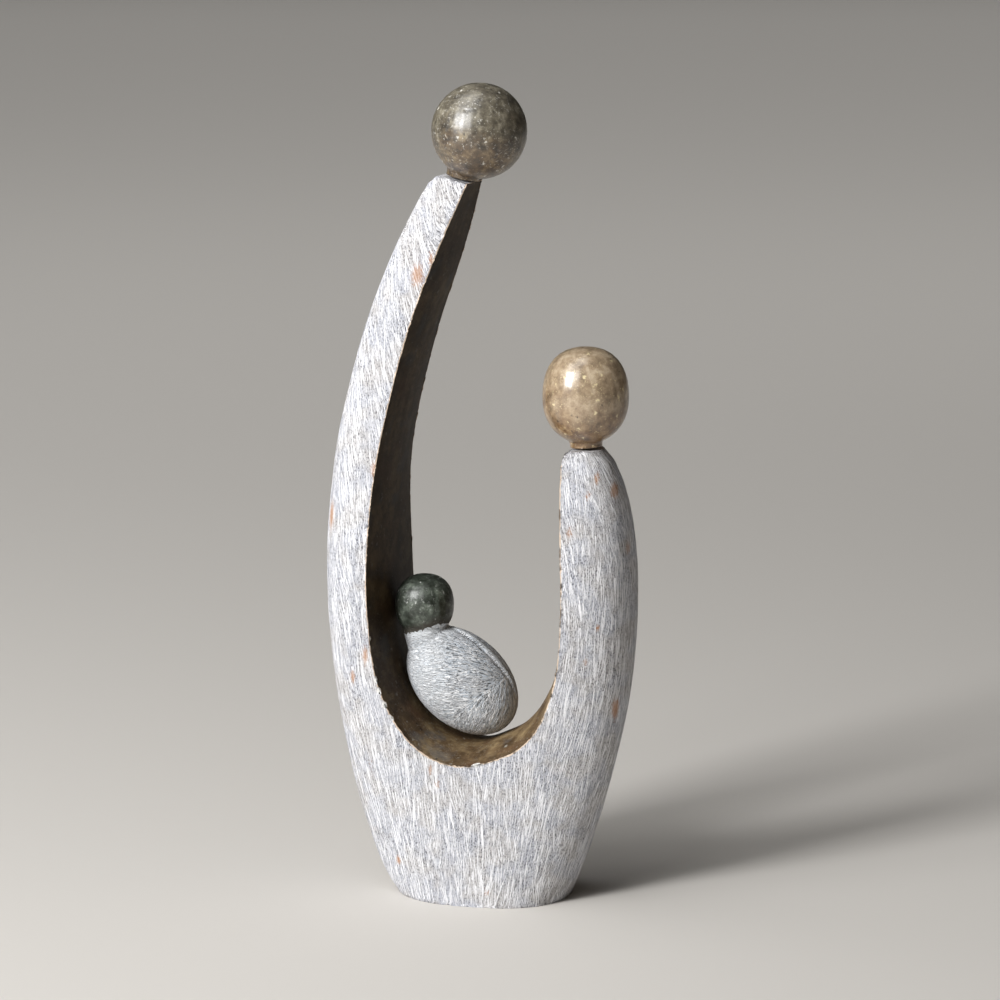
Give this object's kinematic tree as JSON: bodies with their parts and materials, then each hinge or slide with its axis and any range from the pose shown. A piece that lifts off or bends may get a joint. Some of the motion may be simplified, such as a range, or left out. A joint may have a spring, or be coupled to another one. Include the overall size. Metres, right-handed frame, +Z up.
{
  "type": "stone family sculpture",
  "caption": "Hand-carved soft stone family group: parents' bodies as one U-shaped stone with rasped backs and polished hollow, ball heads on short necks, and a wrapped baby in the hollow.",
  "frame": {"origin": "middle of the flat underside that the stone stands on", "axes": "+Z up; +X from the father's arm to the mother's; -Y is the front"},
  "size_m": [0.1023, 0.0452, 0.2625],
  "materials": {
    "body_stone": "rasped pale grey on the outside, polished dark olive brown in the hollow",
    "father_head_stone": "polished",
    "mother_head_stone": "polished",
    "baby_stone": "rasped pale grey wrap, polished dark green head"
  },
  "bodies": {
    "root": {"parents_body": "body_stone", "father_head": "father_head_stone", "mother_head": "mother_head_stone", "baby": "baby_stone"}
  },
  "joints": []
}
